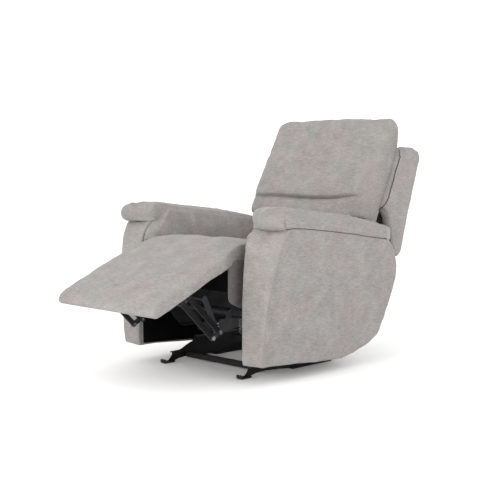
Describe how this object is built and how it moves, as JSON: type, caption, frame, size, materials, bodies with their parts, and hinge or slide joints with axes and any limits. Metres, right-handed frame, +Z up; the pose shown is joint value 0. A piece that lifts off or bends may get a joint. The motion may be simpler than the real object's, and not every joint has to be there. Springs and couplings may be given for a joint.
{
  "type": "recliner armchair",
  "caption": "Padded rocker recliner armchair with a fold-out footrest on steel links, a reclining back and a rocking steel base.",
  "frame": {"origin": "on the floor, under the middle of the chair's outline with the footrest out", "axes": "+Z up, the chair faces -Y, +X is the sitter's left"},
  "size_m": [0.9386, 1.4586, 1.0283],
  "materials": {
    "black_steel": "black stoved enamel on stamped steel",
    "glide_rubber": "dull black rubber",
    "track_plastic": "satin black moulded plastic",
    "link_steel": "dark grey enamel on flat steel bar",
    "zinc_steel": "zinc plated",
    "timber": "bare sawn timber and plywood",
    "black_lining": "black non-woven lining",
    "upholstery": "soft warm grey chenille with a fine slub weave"
  },
  "bodies": {
    "base": {"base_rail_left": "black_steel", "base_rail_right": "black_steel", "front_cross_beam": "black_steel", "rear_cross_beam": "black_steel", "floor_glides": "glide_rubber", "rocker_tracks": "track_plastic", "spring_brackets": "black_steel", "rocker_springs": "zinc_steel"},
    "chassis": {"rocker_cam_left": "track_plastic", "rocker_cam_right": "track_plastic", "seat_rail_left": "black_steel", "seat_rail_right": "black_steel", "spring_hangers": "black_steel", "front_cross_tube": "black_steel", "rear_cross_tube": "black_steel", "link_rivets": "zinc_steel", "recline_pins": "zinc_steel", "seat_front_rail": "black_lining", "seat_rear_rail": "timber", "seat_springs": "zinc_steel", "seat_cushion": "upholstery", "seat_side_covers": "upholstery", "chaise_pad": "upholstery", "arm_frame_left": "timber", "arm_frame_right": "timber", "arm_liner_left": "black_lining", "arm_liner_right": "black_lining", "arm_side_left": "upholstery", "arm_side_right": "upholstery", "arm_front_left": "upholstery", "arm_front_right": "upholstery", "arm_rear_left": "upholstery", "arm_rear_right": "upholstery", "arm_inner_pad_left": "upholstery", "arm_inner_pad_right": "upholstery", "arm_pillow_left": "upholstery", "arm_pillow_right": "upholstery", "handle_bezel": "track_plastic"},
    "handle": {"release_handle": "track_plastic"},
    "lower_links": {"lower_link_left": "link_steel", "lower_link_right": "link_steel", "torque_tube": "black_steel", "support_arms": "link_steel", "support_bar": "black_steel", "knee_rivets": "zinc_steel"},
    "upper_links": {"upper_link_left": "link_steel", "upper_link_right": "link_steel"},
    "guide_links": {"guide_link_left": "link_steel", "guide_link_right": "link_steel"},
    "footrest": {"ottoman_board": "timber", "ottoman_pad": "upholstery", "ottoman_brackets": "link_steel"},
    "backrest": {"back_frame": "timber", "back_brackets": "black_steel", "back_cushion": "upholstery", "lumbar_cushion": "upholstery", "back_wing_left": "upholstery", "back_wing_right": "upholstery", "back_panel": "upholstery"}
  },
  "joints": [
    {"name": "rock", "type": "hinge", "parent": "base", "child": "chassis", "pos_m": [0, 0.1037, 0.6183], "axis": [1, 0, 0], "range_deg": [-4, 9], "stiffness_Nm_per_rad": 120, "deforming": ["rocker_springs"]},
    {"name": "footrest", "type": "hinge", "parent": "chassis", "child": "footrest", "pos_m": [0, -0.4193, 0.465], "axis": [1, 0, 0], "range_deg": [0, 66], "deforming": ["chaise_pad"]},
    {"name": "lower_link", "type": "hinge", "parent": "chassis", "child": "lower_links", "pos_m": [0, -0.2683, 0.319], "axis": [1, 0, 0], "range_deg": [0, 66]},
    {"name": "upper_link", "type": "hinge", "parent": "lower_links", "child": "upper_links", "pos_m": [0, -0.3633, 0.2], "axis": [1, 0, 0], "range_deg": [-66, 0]},
    {"name": "guide_link", "type": "hinge", "parent": "lower_links", "child": "guide_links", "pos_m": [0, -0.4003, 0.182], "axis": [1, 0, 0], "range_deg": [-66, 0]},
    {"name": "back_recline", "type": "hinge", "parent": "chassis", "child": "backrest", "pos_m": [0, 0.3487, 0.365], "axis": [-1, 0, 0], "range_deg": [0, 32]},
    {"name": "release", "type": "hinge", "parent": "chassis", "child": "handle", "pos_m": [-0.45032, -0.1213, 0.39683], "axis": [-0.9921, 0, -0.1253], "range_deg": [0, 25], "stiffness_Nm_per_rad": 2}
  ],
  "couplings": [
    {"joint": "lower_link", "follows": "footrest", "ratio": 1},
    {"joint": "upper_link", "follows": "footrest", "ratio": -1},
    {"joint": "guide_link", "follows": "footrest", "ratio": -1}
  ]
}
